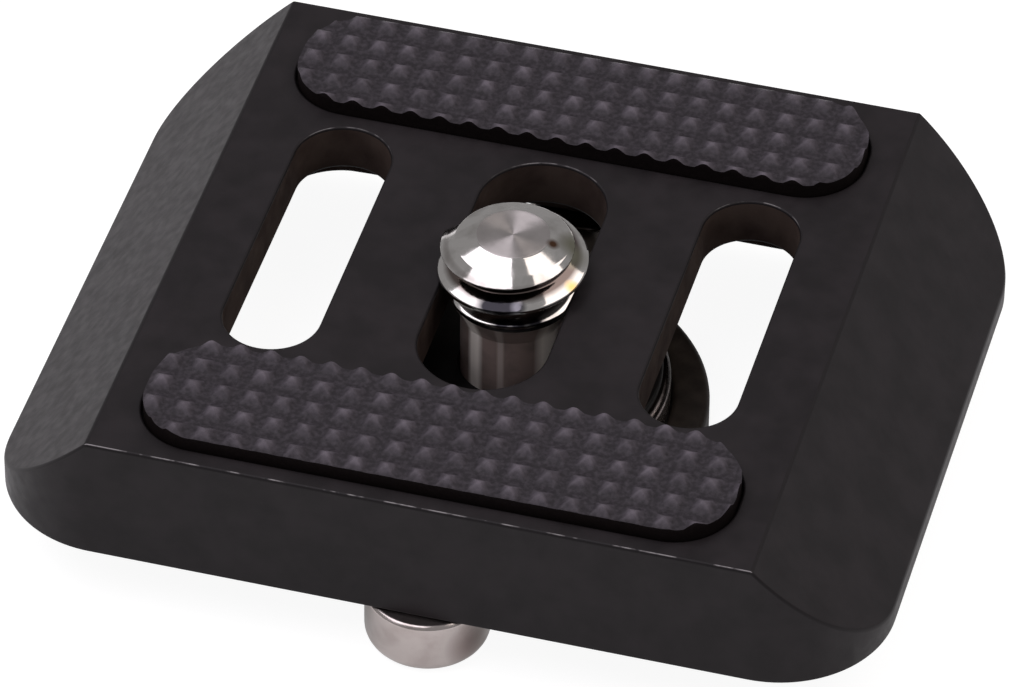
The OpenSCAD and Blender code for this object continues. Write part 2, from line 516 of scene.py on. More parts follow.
@dataclass(frozen=True)
class AnodisedAluminium(Finish):
    """Black anodising over finely blasted aluminium."""

    name: str = "anodised_aluminium"
    slot: str = "anodised_aluminium"
    dark: Colour = (0.0094, 0.0077, 0.0085)
    light: Colour = (0.0148, 0.0121, 0.0134)
    roughness: float = 0.45
    specular: float = 0.17
    cloud: float = 1.6
    cloud_band: Point = (0.36, 0.64)
    smear: float = 0.5
    grain: float = 0.075
    grain_depth: float = 0.0022

    def material(self) -> bpy.types.Material:
        """Makes the material with its blasted grain and faint cloudiness."""
        shader = Shader(self.name)
        shader.set(Specular_IOR_Level=self.specular)
        low, high = self.cloud_band
        clouds = shader.noise(self.cloud, 5.0)
        shader.feed("Base Color", shader.ramp(clouds, (low, self.dark), (high, self.light)))
        smears = shader.noise(self.smear)
        rough = shader.spread(smears, 0.3, 0.7, self.roughness - 0.05, self.roughness + 0.05)
        shader.feed("Roughness", rough)
        shader.feed("Normal", shader.bump(shader.noise(self.grain), self.grain_depth))
        return shader.material


@dataclass(frozen=True)
class EdgeWearAndHighlight(AnodisedAluminium):
    """Anodising on the edges, pale in patches along the front edge and the slots' rear arcs where an edge faces
    up and to the front: partly where the anodising has come off, partly a painted highlight.
    """

    name: str = "anodised_edge_highlight"
    bare_and_highlight: Colour = (0.26, 0.245, 0.25)
    bare_roughness: float = 0.3
    upward: Point = (0.7, 0.9)
    forward: Point = (-0.35, -0.2)
    front: Point = (14.6, 14.75)
    arcs: Point = (7.6, 7.9)
    arc_wear_and_highlight: float = 0.6
    patch: float = 0.8
    patch_band: Point = (0.46, 0.6)
    corner: Point = (13.2, 13.6)

    def material(self) -> bpy.types.Material:
        """Makes the material, pale where an edge faces up and to the front: a painted highlight, broken into
        patches.
        """
        shader = Shader(self.name)
        shader.set(Specular_IOR_Level=self.specular)
        up = shader.spread(shader.axis(shader.facing, "Z"), *self.upward)
        ahead = shader.spread(shader.axis(shader.facing, "Y"), *self.forward, 1.0, 0.0)
        aside, depth = (shader.math("ABSOLUTE", shader.axis(shader.place, name)) for name in "XY")
        edge = shader.reach("Y", -self.front[1], -self.front[0], 1.0, 0.0)
        arcs = shader.spread(depth, self.arcs[0] * MM, self.arcs[1] * MM, self.arc_wear_and_highlight, 0.0)
        patches = shader.spread(shader.noise(self.patch), *self.patch_band)
        corner = shader.spread(aside, self.corner[0] * MM, self.corner[1] * MM)
        where, pale_patches = shader.math("MAXIMUM", edge, arcs), shader.math("MAXIMUM", patches, corner)
        # Painted highlight: the pale share follows the edges that face up and to the front
        pale_share = shader.product(up, ahead, where, pale_patches)
        shader.feed("Base Color", shader.blend(pale_share, self.dark, self.bare_and_highlight))
        shader.feed("Roughness", shader.spread(pale_share, 0.0, 1.0, self.roughness, self.bare_roughness))
        return shader.material


@dataclass(frozen=True)
class AnodisedBore(AnodisedAluminium):
    """Anodising on the milled walls of the slots and the pocket, a little browner and duller."""

    name: str = "anodised_bore"
    dark: Colour = (0.032, 0.022, 0.019)
    light: Colour = (0.055, 0.04, 0.034)
    roughness: float = 0.7
    specular: float = 0.02


@dataclass(frozen=True)
class MouldedRubber(Finish):
    """Black rubber from a fine-grained mould, paler towards the tops of its pyramids."""

    name: str = "rubber"
    slot: str = "rubber"
    low: Colour = (0.0165, 0.0138, 0.0168)
    high: Colour = (0.11, 0.096, 0.114)
    heights: Point = (9.22, 9.52)
    roughness: float = 0.58
    specular: float = 0.2
    peak_patch: float = 1.3
    least_peak_pallor: float = 0.45
    fleck: float = 0.22
    fleck_band: Point = (-0.1, 0.22)
    pimple: float = 0.3
    pimple_depth: float = 0.02
    grain: float = 0.07
    grain_depth: float = 0.005

    def material(self) -> bpy.types.Material:
        """Makes the material."""
        shader = Shader(self.name)
        shader.set(Roughness=self.roughness, Specular_IOR_Level=self.specular)
        # Paler with height, in patches
        pale_share = shader.spread(shader.noise(self.peak_patch, 2.0), 0.35, 0.65, self.least_peak_pallor, 1.0)
        pale_patches = shader.product(shader.reach("Z", *self.heights), pale_share)
        flecks = shader.spread(shader.noise(self.fleck, 5.0), 0.3, 0.7, *self.fleck_band)
        pale = shader.math("ADD", pale_patches, flecks)
        shader.feed("Base Color", shader.ramp(pale, (0.0, self.low), (1.0, self.high)))
        pimples = shader.bump(shader.noise(self.pimple), self.pimple_depth)
        shader.feed("Normal", shader.bump(shader.noise(self.grain), self.grain_depth, pimples))
        return shader.material


@dataclass(frozen=True)
class ShadedRubberWall(MouldedRubber):
    """The same rubber on the pads' sides, darkened with painted shade."""

    name: str = "rubber_wall_shaded"
    low: Colour = (0.007, 0.005, 0.005)
    high: Colour = (0.014, 0.0105, 0.011)
    specular: float = 0.05


@dataclass(frozen=True)
class StainAndShadeSpot:
    """Soft coloured spot on metal: some mark the metal itself, others are painted shade or painted reflection,
    as noted where they are given.
    """

    place: Place
    radius: float
    colour: Colour


@dataclass(frozen=True)
class ReflectionStreak:
    """Painted reflection: a bright band that runs along a shank, by its azimuth and half its width in degrees.
    """

    azimuth: float
    half_width: float
    colour: Colour


@dataclass(frozen=True)
class TurnedSteel(Finish):
    """Bright stainless steel with the fine rings that turning leaves."""

    name: str = "stainless_steel"
    slot: str = "stainless_steel"
    colour: Colour = (0.62, 0.6, 0.58)
    shade: Colour = (0.46, 0.44, 0.42)
    roughness: float = 0.08
    anisotropy: float = 0.3
    metallic: float = 1.0
    ring_pitch: float = 0.09
    ring_depth: float = 0.0004
    spots: tuple[StainAndShadeSpot, ...] = ()
    streaks: tuple[ReflectionStreak, ...] = ()
    groove_r: float = 0.0
    groove_ease: float = 0.25
    groove_low: Point = (8.9, 9.1)
    groove_high: Point = (10.2, 10.4)
    groove_shade: Colour = (0.15, 0.12, 0.11)

    def depth(self, shader: Shader) -> Socket:
        """Painted shade of the thread's grooves, 1 at their root and 0 at the crests and past the thread."""
        across, deep = shader.axis(shader.place, "X"), shader.axis(shader.place, "Y")
        square = shader.math("ADD", shader.product(across, across), shader.product(deep, deep))
        root, rim = (self.groove_r - self.groove_ease) * MM, self.groove_r * MM
        low = shader.spread(shader.math("SQRT", square), root, rim, 1.0, 0.0)
        above, below = shader.reach("Z", *self.groove_low), shader.reach("Z", *self.groove_high, 1.0, 0.0)
        return shader.product(low, above, below)

    def paint_reflections(self, shader: Shader, colour: Socket) -> Socket:
        """Lays the streaks, painted reflections, over a colour."""
        across, deep = shader.axis(shader.place, "X"), shader.axis(shader.place, "Y")
        angle = shader.math("ARCTAN2", deep, across)
        for streak in self.streaks:
            off = shader.math("ABSOLUTE", shader.math("SUBTRACT", angle, math.radians(streak.azimuth)))
            width = math.radians(streak.half_width)
            band = shader.spread(off, width * STREAK_CORE, width, 1.0, 0.0)
            colour = shader.blend(band, colour, streak.colour)
        return colour

    def material(self) -> bpy.types.Material:
        """Makes the material."""
        shader = Shader(self.name)
        shader.set(Metallic=self.metallic, Anisotropic=self.anisotropy, Anisotropic_Rotation=0.25)
        colour = shader.ramp(shader.noise(1.1, 4.0), (0.35, self.shade), (0.55, self.colour))
        # Painted shade darkens the thread's grooves
        if self.groove_r:
            colour = shader.blend(self.depth(shader), colour, self.groove_shade)
        if self.streaks:
            colour = self.paint_reflections(shader, colour)
        # Spots lay marks of the metal, painted shade and painted reflections over the colour
        for spot in self.spots:
            colour = shader.blend(shader.near(spot.place, spot.radius), colour, spot.colour)
        rough = shader.spread(shader.noise(0.4, 3.0), 0.3, 0.7, self.roughness - 0.02, self.roughness + 0.04)
        shader.feed("Base Color", colour)
        shader.feed("Roughness", rough)
        rings = shader.noise(self.ring_pitch, 1.0, shader.stretched((0.02, 0.02, 1.0)))
        shader.feed("Tangent", shader.add("Tangent", "Tangent", {}, direction_type="RADIAL", axis="Z"))
        shader.feed("Normal", shader.bump(rings, self.ring_depth))
        return shader.material


# Painted dark reflection on the front of the two lower turns, where they mirror the dark side of the room; the
# grey spot among them is a lighter part of it
DARK_REFLECTION = (0.024, 0.023, 0.027)

SCREW_STEEL = TurnedSteel(
    # Painted shade in the thread's grooves, inside this radius
    groove_r=2.95,
    spots=(
        StainAndShadeSpot((1.73, -0.09, 10.83), 0.34, (0.12, 0.06, 0.035)),
        StainAndShadeSpot((2.9, -1.15, 9.72), 0.42, (0.66, 0.44, 0.17)),
        StainAndShadeSpot((2.5, 0.4, 10.3), 0.95, (0.26, 0.25, 0.19)),
        StainAndShadeSpot((0.66, -2.92, 9.44), 0.68, DARK_REFLECTION),
        StainAndShadeSpot((0.2, -2.99, 9.41), 0.68, DARK_REFLECTION),
        StainAndShadeSpot((-0.26, -2.98, 9.38), 0.68, DARK_REFLECTION),
        StainAndShadeSpot((1.0, -2.82, 9.47), 0.4, (0.12, 0.116, 0.13)),
        StainAndShadeSpot((0.305, -2.904, 8.28), 0.6, DARK_REFLECTION),
        StainAndShadeSpot((1.0, -2.744, 8.33), 0.6, DARK_REFLECTION),
        StainAndShadeSpot((1.63, -2.42, 8.38), 0.55, DARK_REFLECTION),
    ),
)
FACED_STEEL = TurnedSteel(
    name="faced_steel", colour=(0.5, 0.465, 0.455), shade=(0.43, 0.4, 0.39), roughness=0.32,
    anisotropy=0.9, spots=SCREW_STEEL.spots[:1],
)
# Shank: painted reflections, a dark brown middle where it would mirror shadowed surroundings and bright streaks
# where it would mirror the lit side slots
SHANK_PAINTED_REFLECTION = TurnedSteel(
    name="shank_painted_reflection", colour=(0.25, 0.185, 0.165), shade=(0.18, 0.135, 0.12), roughness=0.55,
    anisotropy=0.85, metallic=0.15,
    streaks=(
        ReflectionStreak(-121.0, 12.0, (1.0, 0.93, 0.86)),
        ReflectionStreak(-88.0, 5.0, (0.44, 0.37, 0.34)),
        ReflectionStreak(-32.0, 19.0, (1.0, 0.93, 0.84)),
    ),
)
# Painted shade: a dark spot on the upper side of the head, under the plate, that dims its glints
HEAD_SHADE_SPOT = StainAndShadeSpot((6.5, 2.2, 3.2), 2.6, (0.03, 0.024, 0.02))
HEAD_STEEL = TurnedSteel(
    name="head_steel", colour=(0.5, 0.47, 0.455), shade=(0.4, 0.37, 0.355), roughness=0.24,
    spots=(HEAD_SHADE_SPOT,),
)
# Darker copy of the head's steel for its rounded edges: painted shade that dims their glints
HEAD_EDGE_SHADED = TurnedSteel(
    name="head_edge", colour=(0.28, 0.24, 0.23), shade=(0.06, 0.05, 0.046), roughness=0.25,
    spots=(HEAD_SHADE_SPOT,),
)
# Near-black copy of the steel for the head's top faces: painted shade under the plate
HEAD_TOP_SHADED = TurnedSteel(
    name="head_top", colour=(0.035, 0.028, 0.025), shade=(0.018, 0.014, 0.012), roughness=0.35,
)
STOP_STEEL = TurnedSteel(
    name="stop_steel", colour=(0.5, 0.45, 0.43), shade=(0.43, 0.38, 0.36), roughness=0.2, anisotropy=0.5,
    # The three spots are painted shade: the right and left sides of the front head, where it mirrors shadowed
    # floor, and the front of the rear head under the plate
    spots=(
        StainAndShadeSpot((2.75, -14.9, 1.3), 1.5, (0.2, 0.15, 0.14)),
        StainAndShadeSpot((-2.6, -13.4, 1.3), 0.9, (0.26, 0.22, 0.21)),
        StainAndShadeSpot((0.1, 10.3, 1.9), 2.2, (0.03, 0.024, 0.021)),
    ),
)


@dataclass(frozen=True)
class BlackNylon(Finish):
    """Smooth black nylon."""

    name: str = "black_nylon"
    slot: str = "black_nylon"
    dark: Colour = (0.005, 0.0047, 0.0047)
    light: Colour = (0.01, 0.0092, 0.009)

    def material(self) -> bpy.types.Material:
        """Makes the material."""
        shader = Shader(self.name)
        shader.set(Roughness=0.45, Specular_IOR_Level=0.15)
        shader.feed("Base Color", shader.ramp(shader.noise(0.9), (0.3, self.dark), (0.7, self.light)))
        shader.feed("Normal", shader.bump(shader.noise(0.2), 0.004))
        return shader.material


@dataclass(frozen=True)
class BlackenedSteel(Finish):
    """Steel with a satin black finish."""

    name: str = "blackened_steel"
    slot: str = "blackened_steel"
    dark: Colour = (0.02, 0.0155, 0.0125)
    light: Colour = (0.042, 0.033, 0.027)

    def material(self) -> bpy.types.Material:
        """Makes the material."""
        shader = Shader(self.name)
        shader.set(Roughness=0.5, Specular_IOR_Level=0.2)
        shader.feed("Base Color", shader.ramp(shader.noise(0.8, 5.0), (0.35, self.dark), (0.7, self.light)))
        shader.feed("Normal", shader.bump(shader.noise(0.16), 0.005))
        return shader.material


# Materials made so far, so that pieces with one finish share it
MADE: dict[Finish, bpy.types.Material] = {}


# Sub-assemblies


class Assembly(ABC):
    """A group of pieces that one class builds and dresses."""

    @abstractmethod
    def build(self) -> list[Piece]:
        """Builds the pieces and seats them on their bodies."""

    @staticmethod
    def seat(piece: Piece, body: str, finishes: Sequence[Finish], *nodes: str) -> Piece:
        """Dresses a piece and lets it ride on its body.

        Args:
            piece: the finished mesh.
            body: the body that it moves with.
            finishes: the finishes of its material slots.
            nodes: the solids that it stands for.

        Returns:
            The piece.
        """
        Workbench.add_slots(piece, len(finishes))
        for place, finish in enumerate(finishes):
            if finish not in MADE:
                MADE[finish] = finish.material()
            piece.data.materials[place] = MADE[finish]
        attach(piece, body)
        if nodes:
            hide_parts(*nodes)
        return piece


@dataclass
class DovetailPlate(Assembly):
    """Machined plate with its pocket, slots, pad recesses and stop holes."""

    width: float = 38.0
    length: float = 30.0
    thickness: float = 6.0
    lip: float = 1.0
    slope_run: float = 5.0
    corner: float = 5.0
    bottom: float = 2.7
    pocket: Size = (26.0, 22.7, 3.8)
    pocket_corner: float = 3.0
    side_slot: Point = (14.6, 4.15)
    side_slot_x: float = 8.95
    screw_slot: Point = (14.7, 5.5)
    recess: Size = (25.12, 6.01, 0.4)
    recess_corner: float = 2.68
    recess_y: float = 11.125
    stop_hole: Size = (13.05, 3.04, 3.7)
    edge: float = 0.11

    def blank(self) -> Piece:
        """Dovetail bar with its four corners rounded, before its openings are cut."""
        half, top = self.width / 2, self.width / 2 - self.slope_run
        right = [(half, 0), (half, self.lip), (top, self.thickness)]
        section = right + [(-x, z) for x, z in reversed(right)]
        bar = Shell.prism(section, -self.length / 2, self.length / 2)
        plate = Workbench.solid("dovetail_plate", bar.moved(Matrix.Rotation(math.pi / 2, 4, "X")))
        plan = rounded_rectangle(self.width, self.length, self.corner, 28)
        Workbench.cut(plate, Cut.KEEP_COMMON, Shell.prism(plan, -OVERRUN, self.thickness + OVERRUN))
        return plate

    def openings(self) -> list[Shell]:
        """Cutters for the pocket, the three slots, the recesses and the stop holes."""
        under, over = -OVERRUN, self.thickness + OVERRUN
        side_length, side_width = self.side_slot
        side = Shell.prism(rounded_rectangle(side_width, side_length, side_width / 2), under, over)
        middle_length, middle_width = self.screw_slot
        middle = rounded_rectangle(middle_width, middle_length, middle_width / 2, 24)
        pocket_width, pocket_length, pocket_depth = self.pocket
        pocket = rounded_rectangle(pocket_width, pocket_length, self.pocket_corner)
        cutters = [
            Shell.prism(pocket, under, pocket_depth),
            side.moved((self.side_slot_x, 0, 0)),
            side.moved((-self.side_slot_x, 0, 0)),
            Shell.prism(middle, under, over),
        ]
        recess_length, recess_width, recess_depth = self.recess
        recess = rounded_rectangle(recess_length, recess_width, self.recess_corner)
        seat = Shell.prism(recess, self.thickness - recess_depth, over)
        hole_y, hole_width, hole_depth = self.stop_hole
        hole = Shell.prism(rounded_rectangle(hole_width, hole_width, hole_width / 2, 12), under, hole_depth)
        for end in End:
            cutters.append(seat.moved((0, end.value * self.recess_y, 0)))
            cutters.append(hole.moved((0, end.value * hole_y, 0)))
        return cutters

    def mark_bores(self, plate: Piece) -> None:
        """Gives the walls of the slots and all of the pocket their own material slot."""
        half_x, half_y, roof = self.pocket[0] / 2, self.pocket[1] / 2, self.pocket[2]
        for face in plate.data.polygons:
            x, y, z = face.center / MM
            within = abs(x) < half_x + SLACK and abs(y) < half_y + SLACK
            in_slot = within and abs(face.normal.z) < 0.5 and abs(y) < self.screw_slot[0] / 2 + SLACK
            if in_slot or (within and SLACK < z < roof + SLACK):
                face.material_index = 2

    def build(self) -> list[Piece]:
        """Builds the plate in one piece."""
        plate = self.blank()
        Workbench.cut(plate, Cut.REMOVE, *self.openings())
        finishes = (AnodisedAluminium(), EdgeWearAndHighlight(), AnodisedBore())
        Workbench.add_slots(plate, len(finishes))
        self.mark_bores(plate)
        plate.data.transform(Matrix.Translation((0, 0, self.bottom * MM)))
        # The rounded edges take the edge finish with its painted highlight
        Workbench.soften(plate, self.edge, edge_slot=1)
        return [self.seat(plate, "plate", finishes, "plate_body")]


@dataclass
class GripPads(Assembly):
    """Two rubber pads with round corners and rows of small soft-edged pyramids."""

    length: float = 24.96
    width: float = 5.85
    corner: float = 2.6
    floor: float = 8.3
    face: float = 9.22
    peak: float = 0.3
    half_base: float = 0.43
    column_pitch: float = 1.29
    columns: int = 20
    shift: float = -0.3
    row_pitch: float = 1.335
    rows: int = 5
    seat_y: float = 11.125
    crest_round: float = 0.07
    foot_round: float = 0.1
    edge_round: float = 0.16
    trim: float = 1e-4
    fineness: int = 6

    def ridge(self, off: float) -> float:
        """Share of a ridge's height at a distance from its crest, with a round crest and foot."""
        crest = math.hypot(off, self.crest_round) - self.crest_round
        rise = 1.0 - crest / (self.half_base - self.crest_round * 0.8)
        foot = self.foot_round
        return max(0.0, (rise + math.hypot(rise, foot)) / 2 - foot * foot / 4)

    def samples(self, crests: Sequence[float], half: float) -> list[float]:
        """Places of the grid lines along one direction, on every crest and foot.

        Args:
            crests: where the crests are.
            half: half the pad's size in this direction.

        Returns:
            The places in rising order, within the pad.
        """
        fine = self.fineness
        places = {-half, half}
        for crest in crests:
            places.update(crest + self.half_base * i / fine for i in range(-fine, fine + 1))
        gap = crests[1] - crests[0] - 2 * self.half_base
        for crest in crests:
            places.update(crest + self.half_base + gap * i / 3 for i in (1, 2))
        places.update(crests[0] - self.half_base - gap * i / 3 for i in (1, 2))
        return sorted(place for place in places if -half <= place <= half)

    def block(self) -> Shell:
        """Square-ended block with the pyramids on top, its outermost row at the front."""
        half_x, half_y = self.length / 2, self.width / 2
        columns = [self.shift + (i - (self.columns - 2) / 2) * self.column_pitch for i in range(self.columns)]
        rows = [self.half_base - half_y + i * self.row_pitch for i in range(self.rows)]
        across, deep = self.samples(columns, half_x), self.samples(rows, half_y)
        over_x = [self.ridge(min(abs(x - crest) for crest in columns)) for x in across]
        over_y = [self.ridge(min(abs(y - crest) for crest in rows)) for y in deep]
        shell = Shell()
        for y, high_y in zip(deep, over_y):
            for x, high_x in zip(across, over_x):
                share = max(0.0, soft_min(high_x, high_y, self.edge_round))
                shell.points.append((x, y, self.face + self.peak * share))
        stride, count_x, count_y = len(across), len(across) - 1, len(deep) - 1
        for row in range(count_y):
            for column in range(count_x):
                a = row * stride + column
                b, c, d = a + 1, a + 1 + stride, a + stride
                rises = (shell.points[a][2] + shell.points[c][2]) > (shell.points[b][2] + shell.points[d][2])
                shell.faces += [(a, b, c), (a, c, d)] if rises else [(a, b, d), (b, c, d)]
        rim = list(range(stride))
        rim += [row * stride + count_x for row in range(1, count_y + 1)]
        rim += [count_y * stride + i for i in range(count_x - 1, -1, -1)]
        rim += [row * stride for row in range(count_y - 1, 0, -1)]
        start = len(shell.points)
        shell.points += [(shell.points[i][0], shell.points[i][1], self.floor) for i in rim]
        for i in range(len(rim)):
            j = (i + 1) % len(rim)
            shell.faces.append((rim[i], start + i, start + j, rim[j]))
        shell.faces.append(tuple(reversed(range(start, start + len(rim)))))
        return shell

    def template(self) -> Piece:
        """Front pad about its own middle, with its walls in the second material slot."""
        plan = rounded_rectangle(self.length - 2 * self.trim, self.width - 2 * self.trim, self.corner, 28)
        knife = Shell.prism(plan, self.floor - OVERRUN, self.face + OVERRUN)
        pad = Workbench.solid("pad_template", self.block())
        Workbench.cut(pad, Cut.KEEP_COMMON, knife, clean=False)
        Workbench.add_slots(pad, 2)
        # The walls take the darker rubber, painted shade
        for face in pad.data.polygons:
            if abs(face.normal.z) < 0.3:
                face.material_index = 1
        Workbench.shade(pad, False)
        pad.data.set_sharp_from_angle(angle=math.radians(50))
        return pad

    def build(self) -> list[Piece]:
        """Builds both pads, the rear one as the mirror image of the front one."""
        template = self.template()
        pads = []
        for end in End:
            name = end.name.lower()
            pad = bpy.data.objects.new(f"{name}_grip_pad", template.data.copy())
            bpy.context.scene.collection.objects.link(pad)
            if end is End.REAR:
                pad.data.transform(Matrix.Diagonal((1, -1, 1, 1)))
                pad.data.flip_normals()
            pad.data.transform(Matrix.Translation((0, end.value * self.seat_y * MM, 0)))
            pads.append(self.seat(pad, "plate", (MouldedRubber(), ShadedRubberWall()), f"{name}_pad"))
        bpy.data.objects.remove(template)
        return pads


@dataclass
class CameraScrew(Assembly):
    """Captive screw: slotted head, plain shank and the short camera thread with its turned tip."""

    head_r: float = 6.76
    head_z: float = 0.45
    head_top: float = 3.44
    head_edge: float = 0.45
    head_lip: float = 0.2
    head_round: float = 0.09
    coin_slot: Point = (1.8, 1.3)
    pivot_z: float = 1.35
    pivot_r: float = 0.6
    pivot_depth: float = 1.45
    shank_r: float = 2.2
    shank_top: float = 7.75
    thread_r: float = 3.175
    root_r: float = 2.42
    pitch: float = 1.27
    crest_z: float = 8.95
    crest_turn: float = 195 / 360
    crest_flat: float = 0.19
    flanks: tuple[Point, ...] = ((8.2, 0.62), (8.9, 0.36))
    flank_ease: float = 0.12
    foot: tuple[Point, ...] = ((6.75, 2.2), (7.15, 2.36), (8.05, 2.78), (8.75, 3.175))
    foot_top: float = 9.2
    foot_ease: float = 0.05
    tip: tuple[Point, ...] = ((10.03, 3.12), (10.24, 2.86), (10.61, 2.42), (10.91, 1.54))
    tip_ease: float = 0.03
    notch: Point = (112 / 360, 171 / 360)
    notch_ease: Point = (0.12, 0.1)
    notch_r: float = 2.47
    notch_z: float = 9.7
    thread_low: float = 6.6
    steps: int = 240
    plain_layers: int = 12
    thread_layers: int = 220

    def radius(self, turn: float, z: float) -> float:
        """Radius of the threaded end.

        Args:
            turn: angle about the axis, in turns.
            z: height.

        Returns:
            The thread's radius, held within the run-out below and the turned tip above.
        """
        place = (z - self.crest_z) / self.pitch - (turn - self.crest_turn)
        off = abs(place - round(place)) * self.pitch - self.crest_flat / 2
        fall = soft_clamp(off / along(self.flanks, z), self.flank_ease)
        held = self.thread_r - (self.thread_r - self.root_r) * fall
        if z < self.foot_top:
            held = soft_min(held, along(self.foot, z), self.foot_ease)
        held = max(held, self.shank_r)
        if z < self.notch_z:
            return held
        start, stop = self.notch
        if start < turn < stop and held > self.notch_r:
            ease_turn, ease_z = self.notch_ease
            ease = min(1.0, (turn - start) / ease_turn) * min(1.0, (z - self.notch_z) / ease_z)
            held += (self.notch_r - held) * ease
        return soft_min(held, along(self.tip, z), self.tip_ease)

    def stud(self) -> Shell:
        """Shank and thread as one skin, from inside the head to the flat tip."""
        start, low, high = self.head_top - 0.5, self.thread_low, self.tip[-1][0]
        heights = [start + (low - start) * i / self.plain_layers for i in range(self.plain_layers)]
        heights += [low + (high - low) * i / self.thread_layers for i in range(self.thread_layers + 1)]
        turns = [i / self.steps for i in range(self.steps)]
        rings = [[(0.0, 0.0, start)]]
        for z in heights:
            spokes = [(self.radius(turn, z), math.tau * turn) for turn in turns]
            rings.append([(r * math.cos(angle), r * math.sin(angle), z) for r, angle in spokes])
        rim = rings[-1]
        for share in (0.94, 0.8, 0.6, 0.4, 0.2, 0.05):
            rings.append([(x * share, y * share, high) for x, y, _ in rim])
        rings.append([(0.0, 0.0, high)])
        return Shell.rings(rings)

    def head(self) -> Piece:
        """Flat head with broken edges, its coin slot and the two pivot holes."""
        r, edge, lip, low, top = self.head_r, self.head_edge, self.head_lip, self.head_z, self.head_top
        profile = [(0, low), (r - edge, low), (r, low + edge), (r, top - lip), (r - lip, top), (0, top)]
        head = Workbench.solid("screw_head", Shell.turned(profile))
        slot_width, slot_depth = self.coin_slot
        slot = rounded_rectangle(2 * (r + OVERRUN), slot_width, 0.01, 1)
        cutters = [Shell.prism(slot, low - OVERRUN, low + slot_depth)]
        pin = rounded_rectangle(2 * self.pivot_r, 2 * self.pivot_r, self.pivot_r, 8)
        hole = Shell.prism(pin, r - self.pivot_depth, r + OVERRUN)
        for end in End:
            turn = Matrix.Rotation(-end.value * math.pi / 2, 4, "X")
            cutters.append(hole.moved(Matrix.Translation((0, 0, self.pivot_z)) @ turn))
        Workbench.cut(head, Cut.REMOVE, *cutters)
        Workbench.add_slots(head, 3)
        # The top faces take the near-black steel, painted shade under the plate
        for face in head.data.polygons:
            if face.normal.z > 0.2 and face.center.z > (self.head_top - 0.5) * MM:
                face.material_index = 2
        # The rounded edges take the darker steel, painted shade
        Workbench.soften(head, self.head_round, edge_slot=1)
        return head

    def build(self) -> list[Piece]:
        """Builds the head and the stud, with the shank and the faced end in slots of their own."""
        stud = Workbench.solid("screw_stud", self.stud())
        finishes = (SCREW_STEEL, SHANK_PAINTED_REFLECTION, FACED_STEEL)
        Workbench.add_slots(stud, len(finishes))
        for face in stud.data.polygons:
            if face.center.z < self.shank_top * MM:
                face.material_index = 1
            elif face.normal.z > 0.99 and face.center.z > (self.tip[-1][0] - SLACK) * MM:
                face.material_index = 2
        Workbench.shade(stud, False)
        head = self.seat(self.head(), "screw", (HEAD_STEEL, HEAD_EDGE_SHADED, HEAD_TOP_SHADED), "camera_screw")
        return [head, self.seat(stud, "screw", finishes)]


@dataclass
class ScrewWasher(Assembly):
    """Thin nylon washer on the screw's head."""

    inner: float = 2.26
    outer: float = 6.4
    low: float = 3.5
    high: float = 3.9

    def build(self) -> list[Piece]:
        """Builds the washer."""
        section = [
            (self.inner, self.low), (self.outer, self.low), (self.outer, self.high), (self.inner, self.high),
        ]
        washer = Workbench.solid("nylon_washer", Shell.turned(section, 96, True))
        Workbench.soften(washer, 0.1)
        return [self.seat(washer, "washer", (BlackNylon(),), "screw_washer")]


@dataclass
class FingerRing(Assembly):
    """Half ring round the head, with an eye and a pin at each end."""

    inner: float = 6.78
    outer: float = 8.4
    thickness: float = 1.8
    middle_z: float = 1.35
    edge: float = 0.3
    eye_round: float = 0.25
    eye_rim: float = 0.1
    pin_r: float = 0.55
    pin_end: float = 5.3

    def band(self) -> Shell:
        """Half of the band, with its section rounded at the edges."""
        section = rounded_rectangle(self.outer - self.inner, self.thickness, self.edge, 5)
        middle = (self.inner + self.outer) / 2
        steps = 96
        rings = []
        for i in range(steps + 1):
            angle = math.pi * (i / steps - 0.5)
            rings.append([
                ((middle + x) * math.cos(angle), (middle + x) * math.sin(angle), self.middle_z + z)
                for x, z in section
            ])
        centres = [[(0.0, side * middle, self.middle_z)] for side in (-1, 1)]
        return Shell.rings([centres[0], *rings, centres[1]])

    def eye(self, end: End) -> Shell:
        """Round eye with its pin, along Y at one end of the band."""
        r, e, rim = self.thickness / 2, self.eye_round, self.eye_rim
        angles = [math.radians(15 * i) for i in range(7)]
        arc = [(r - e + e * math.sin(a), e - e * math.cos(a)) for a in angles]
        depth, pin = self.outer - self.inner, self.outer - self.pin_end
        side = [(r, depth - rim), (r - rim, depth), (self.pin_r, depth), (self.pin_r, pin)]
        profile = [(0.0, 0.0), *arc, *side, (0.0, pin)]
        turn = Matrix.Rotation(end.value * math.pi / 2, 4, "X")
        place = Matrix.Translation((0, end.value * self.outer, self.middle_z))
        return Shell.turned(profile, 48).moved(place @ turn)

    def build(self) -> list[Piece]:
        """Builds the ring in one piece."""
        ring = Workbench.solid("folding_finger_ring", self.band(), *(self.eye(end) for end in End))
        Workbench.shade(ring, False)
        ring.data.set_sharp_from_angle(angle=math.radians(35))
        return [self.seat(ring, "ring", (BlackenedSteel(),), "finger_ring")]


